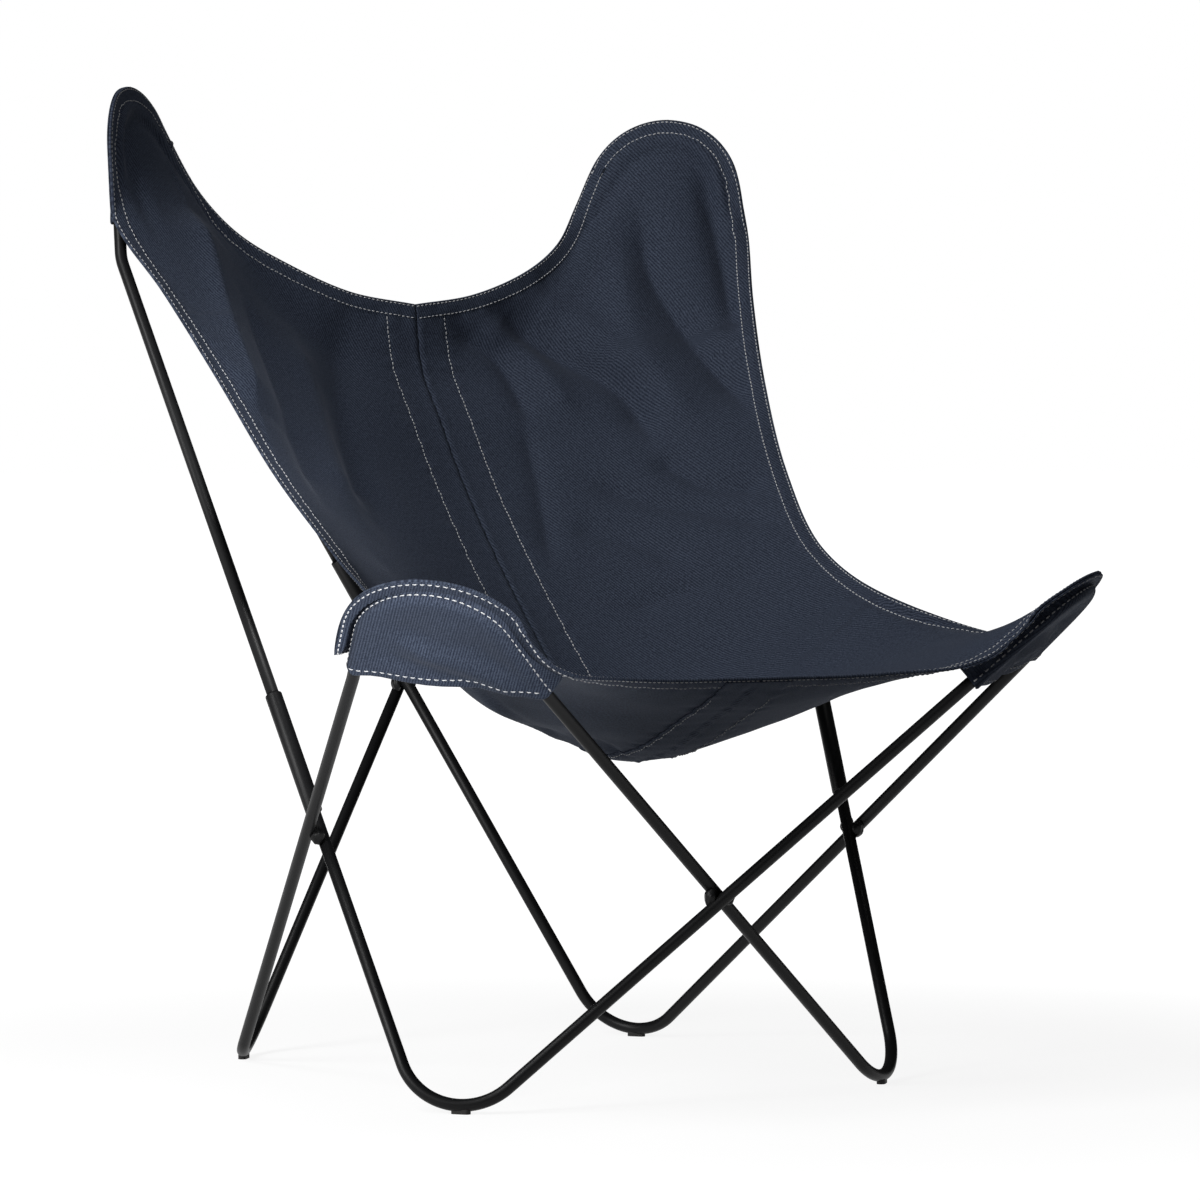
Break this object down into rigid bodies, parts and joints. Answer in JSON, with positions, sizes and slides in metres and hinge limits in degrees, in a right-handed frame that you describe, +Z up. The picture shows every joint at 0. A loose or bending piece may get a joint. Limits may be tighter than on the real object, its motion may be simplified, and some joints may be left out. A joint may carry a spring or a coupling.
{
  "type": "butterfly sling chair",
  "caption": "Lounge chair with a canvas sling hung by sewn pockets on the upper ears of a welded frame of crossed bent steel rods.",
  "frame": {"origin": "on the floor under the middle of the bounding box", "axes": "+Z up, -Y towards the front of the chair, -X towards its left side as seen from the front"},
  "size_m": [0.7588, 0.818, 0.9358],
  "materials": {
    "frame_paint": "satin black",
    "pad_rubber": "matt",
    "canvas": "woven cotton canvas, navy"
  },
  "bodies": {
    "root": {"base_rod_left": "frame_paint", "back_loop_right": "frame_paint", "sleeve_inner_right": "frame_paint", "sleeve_outer_right": "frame_paint", "foot_pad_rear_left": "pad_rubber", "foot_pad_front_right": "pad_rubber", "base_rod_right": "frame_paint", "back_loop_left": "frame_paint", "sleeve_inner_left": "frame_paint", "sleeve_outer_left": "frame_paint", "foot_pad_rear_right": "pad_rubber", "foot_pad_front_left": "pad_rubber", "weld_front_a": "frame_paint", "weld_front_b": "frame_paint", "weld_rear_a": "frame_paint", "weld_rear_b": "frame_paint", "weld_left_a": "frame_paint", "weld_left_b": "frame_paint", "weld_right_a": "frame_paint", "weld_right_b": "frame_paint", "seam_band": "canvas", "sling_panel_left": "canvas", "pocket_front_left": "canvas", "pocket_rear_left": "canvas", "sling_panel_right": "canvas", "pocket_front_right": "canvas", "pocket_rear_right": "canvas"}
  },
  "joints": []
}
